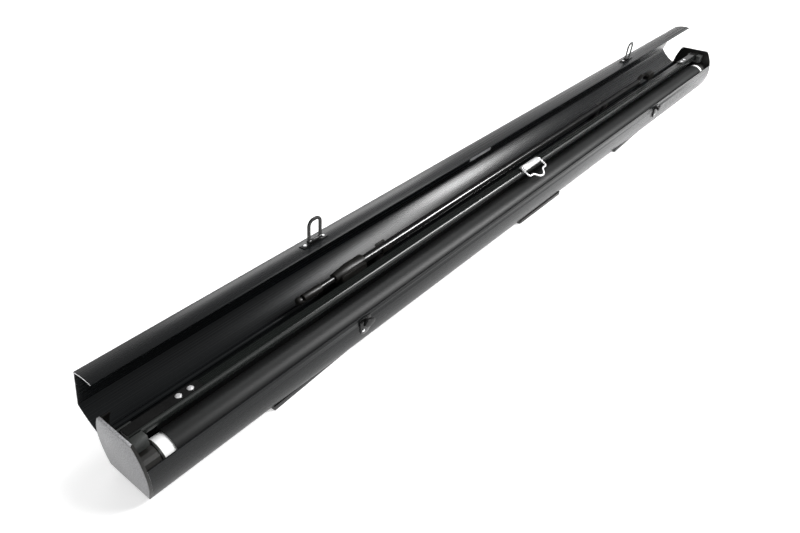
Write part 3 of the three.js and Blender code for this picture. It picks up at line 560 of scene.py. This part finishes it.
def rounded(node, width, crown=0):
    """A copy of a CAD node with rounded edges, which stands for the node.

    A crown cuts that much off the front of its very top before the others are rounded."""
    work = bmesh.new()
    work.from_mesh(nodes[node].data)
    bmesh.ops.remove_doubles(work, verts=work.verts, dist=DOUBLE_REACH)
    bmesh.ops.dissolve_limit(
        work,
        angle_limit=math.radians(DISSOLVE_ANGLE),
        verts=work.verts,
        edges=work.edges,
    )
    if crown:
        bevel(work, ridge_edges(work), crown, segments=1)
    if width:
        bevel(work, sharp_edges(work), width, ROUND_SEGMENTS)
    mesh = bpy.data.meshes.new(node + "_finished")
    work.to_mesh(mesh)
    work.free()
    shade(mesh, SHARP_ANGLE)
    made = new_object(node + "_finished", mesh, slot_of[node], nodes[node]["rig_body"])
    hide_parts(node)


# Roll, and the web from it to the slat
def seam_angle():
    """Where the web leaves the roll, as an angle about the roller."""
    away = (SLOT_Y - ROLLER_Y, SLOT_LOW - ROLLER_Z)
    return math.atan2(away[1], away[0]) - math.acos(ROLL_RADIUS / math.hypot(*away))


def roll_point(radius, angle):
    """A point about the roller's axis, in (y, z)."""
    y = ORIGIN.y + ROLLER_Y + radius * math.cos(angle)
    return y, ORIGIN.z + ROLLER_Z + radius * math.sin(angle)


def wound_screen():
    """The screen, wound on the tube in a spiral whose layers show at its ends."""
    first = TUBE_RADIUS + WOUND_GAP + FABRIC / 2
    last = ROLL_RADIUS - FABRIC / 2
    steps = WOUND_TURNS * TURN_STEPS
    section = []
    for i in range(steps + 1):
        turn = 2 * math.pi * WOUND_TURNS * (i / steps - 1)
        section.append(roll_point(first + (last - first) * i / steps, seam_angle() + turn))
    mesh = strip_along_x("wound_screen", section, SCREEN_HALF, FABRIC)
    made = new_object("wound_screen", mesh, "screen_black", "roller")
    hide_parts("screen_roll")


def screen_web():
    """The run of screen from the roll up into the slat's slot."""
    start = roll_point(ROLL_RADIUS + FABRIC, seam_angle())
    neck = (ORIGIN.y + SLOT_Y, ORIGIN.z + SLOT_LOW)
    top = (ORIGIN.y + SLOT_Y, ORIGIN.z + SLOT_HIGH)
    section = [
        (
            start[0] + (neck[0] - start[0]) * i / WEB_STEPS,
            start[1] + (neck[1] - start[1]) * i / WEB_STEPS,
        )
        for i in range(WEB_STEPS + 1)
    ] + [top]
    mesh = strip_along_x("screen_web", section, SCREEN_HALF, FABRIC)
    made = new_object("screen_web", mesh, "screen_black")
    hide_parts("screen_leader")
    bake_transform(made)


# Bail: one bent wire
def bent_path(corners, bend, steps):
    """A closed path whose corners are rounded, each by a short curve through both sides."""
    path = []
    count = len(corners)
    for i, corner in enumerate(corners):
        before = corners[i - 1]
        after = corners[(i + 1) % count]
        reach_in = min(bend, (before - corner).length * BEND_SHARE)
        reach_out = min(bend, (after - corner).length * BEND_SHARE)
        a = corner + (before - corner).normalized() * reach_in
        b = corner + (after - corner).normalized() * reach_out
        for k in range(steps + 1):
            t = k / steps
            path.append(a * (1 - t) ** 2 + corner * (2 * t * (1 - t)) + b * t * t)
    return path


def closed_tube(name, path, radius, sides, up):
    """A round wire along a closed path that lies in the plane square to up."""
    count = len(path)
    points = []
    faces = []
    for i, p in enumerate(path):
        along = (path[(i + 1) % count] - path[i - 1]).normalized()
        across = along.cross(up).normalized()
        for j in range(sides):
            t = 2 * math.pi * j / sides
            points.append(p + (across * math.cos(t) + up * math.sin(t)) * radius)
    for i in range(count):
        for j in range(sides):
            k = ((i + 1) % count) * sides
            faces.append(
                (i * sides + j, i * sides + (j + 1) % sides, k + (j + 1) % sides, k + j)
            )
    mesh = mesh_of(name, points, faces)
    shade(mesh, WIRE_SHARP_ANGLE)
    return mesh


def bail_loop():
    """The pull-up bail: legs, corners and a tip that points forward."""
    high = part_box("bail_wire")[1]
    t = math.radians(BAIL_SLOPE)
    forward = Vector((0, -math.cos(t), -math.sin(t)))
    up = Vector((0, -math.sin(t), math.cos(t)))
    pivot = Vector((0, high.y - WIRE_RADIUS, high.z - WIRE_RADIUS))
    side = Vector((1, 0, 0))
    shape = [
        (BAIL_HALF, 0),
        (BAIL_HALF, BAIL_REACH),
        (BAIL_TIP_HALF + BAIL_BEND, BAIL_REACH),
        (BAIL_TIP_HALF - BAIL_BEND, BAIL_TIP_REACH),
    ]
    half = [pivot + side * x + forward * r for x, r in shape]
    other = [pivot - side * x + forward * r for x, r in reversed(shape)]
    path = bent_path(half + other, BAIL_BEND, WIRE_BEND_STEPS)
    mesh = closed_tube("bail_loop", path, WIRE_RADIUS, WIRE_SIDES, up)
    made = new_object("bail_loop", mesh, "chrome", "bail")
    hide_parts("bail_wire")


# Studio
def direction(yaw, pitch):
    """The unit vector at a yaw from +X and a pitch above the floor, both in degrees."""
    yaw, pitch = math.radians(yaw), math.radians(pitch)
    return Vector(
        (math.cos(yaw) * math.cos(pitch), math.sin(yaw) * math.cos(pitch), math.sin(pitch))
    )


def aimed(name, data, place, look):
    """A lamp or camera at a place, which looks along a direction."""
    made = bpy.data.objects.new(name, data)
    made.location = place
    made.rotation_mode = "QUATERNION"
    made.rotation_quaternion = look.to_track_quat("-Z", "Y")
    bpy.context.scene.collection.objects.link(made)
    return made


def light_path_white(tree):
    """1 for what the camera sees, straight or in gloss and glass, and 0 for the light on the object."""
    path = tree.nodes.new("ShaderNodeLightPath")
    total = path.outputs["Is Camera Ray"]
    for key in ("Is Glossy Ray", "Is Transmission Ray"):
        add = tree.nodes.new("ShaderNodeMath")
        add.operation = "ADD"
        add.use_clamp = True
        tree.links.new(total, add.inputs[0])
        tree.links.new(path.outputs[key], add.inputs[1])
        total = add.outputs["Value"]
    return total


def floor_white():
    """White that takes shadows and glows a little for the camera alone."""
    made, tree, shader = new_material("floor_white")
    shader.inputs["Base Color"].default_value = (*grey(FLOOR_WHITE), 1)
    shader.inputs["Roughness"].default_value = FLOOR_ROUGH
    shader.inputs["Specular IOR Level"].default_value = 0
    glow = tree.nodes.new("ShaderNodeEmission")
    share = tree.nodes.new("ShaderNodeMath")
    share.operation = "MULTIPLY"
    share.inputs[1].default_value = FLOOR_GLOW
    tree.links.new(light_path_white(tree), share.inputs[0])
    tree.links.new(share.outputs["Value"], glow.inputs["Strength"])
    add = tree.nodes.new("ShaderNodeAddShader")
    tree.links.new(shader.outputs["BSDF"], add.inputs[0])
    tree.links.new(glow.outputs["Emission"], add.inputs[1])
    tree.links.new(add.outputs["Shader"], tree.nodes["Material Output"].inputs["Surface"])
    return made


def floor():
    corners = ((-1, -1), (1, -1), (1, 1), (-1, 1))
    points = [(x * FLOOR_HALF, y * FLOOR_HALF, 0) for x, y in corners]
    mesh = mesh_of("floor", points, [(0, 1, 2, 3)])
    mesh.materials.append(floor_white())
    made = bpy.data.objects.new("floor", mesh)
    bpy.context.scene.collection.objects.link(made)


def sky():
    """A world with a dark and a bright side, and one plain brightness overhead."""
    world = bpy.data.worlds.new("studio")
    bpy.context.scene.world = world
    world.use_nodes = True
    tree = world.node_tree
    place = tree.nodes.new("ShaderNodeTexCoord")
    split = tree.nodes.new("ShaderNodeSeparateXYZ")
    tree.links.new(place.outputs["Generated"], split.inputs["Vector"])
    facing = tree.nodes.new("ShaderNodeVectorMath")
    facing.operation = "DOT_PRODUCT"
    facing.inputs[1].default_value = direction(SKY_BRIGHT_YAW, 0)
    tree.links.new(place.outputs["Generated"], facing.inputs[0])
    side = spread(tree, facing.outputs["Value"], 0, 1, SKY_SIDE_START, SKY_SIDE_END)
    up = spread(tree, split.outputs["Z"], 0, 1, SKY_LOW_END, SKY_TOP_START)
    low = tint(tree, side, grey(SKY_DARK), grey(SKY_BRIGHT))
    whole = tint(tree, up, grey(0), grey(SKY_TOP))
    tree.links.new(low, whole.node.inputs["A"])
    tree.links.new(whole, tree.nodes["Background"].inputs["Color"])


def softbox(name, target, yaw, pitch, width, height, radiance):
    """A rectangular lamp in a direction from its target; its power gives it the radiance."""
    lamp = bpy.data.lights.new(name, "AREA")
    lamp.shape = "RECTANGLE"
    lamp.size = width
    lamp.size_y = height
    lamp.energy = radiance * math.pi * width * height
    out = direction(yaw, pitch)
    aimed(name, lamp, Vector(target) + out * LAMP_DISTANCE, -out)


def camera():
    data = bpy.data.cameras.new("camera")
    data.sensor_width = SENSOR_WIDTH
    data.lens = FOCAL_PIXELS / IMAGE_WIDTH * SENSOR_WIDTH
    data.clip_end = CAMERA_CLIP
    look = direction(CAMERA_YAW, -CAMERA_PITCH)
    bpy.context.scene.camera = aimed("camera", data, CAMERA_PLACE, look)


camera()
floor()
sky()
for name, facts in LAMPS.items():
    softbox(name, *facts)

finish = {
    "case_black": case_black(),
    "slat_black": slat_black(),
    "face_grey": face_grey(),
    "moulding_black": moulding_black(),
    "cradle_grey": cradle_grey(),
    "tube_white": tube_white(),
    "screen_black": screen_black(),
    "steel": steel(),
    "chrome": chrome(),
    "strip_grey": strip_grey(),
    "latch_dark": latch_dark(),
    "bar_black": bar_black(),
}

wound_screen()
screen_web()
bail_loop()
for name, width in PAIR_ROUNDING.items():
    for end in ("near", "far"):
        rounded(f"{name}_{end}", width)
for name, width in SINGLE_ROUNDING.items():
    rounded(name, width)
rounded("slat", SLAT_ROUNDING, SLAT_CROWN)

for name, node in nodes.items():
    node.data.materials.clear()
    node.data.materials.append(finish[slot_of[name]])

bpy.context.scene.view_settings.view_transform = "Standard"
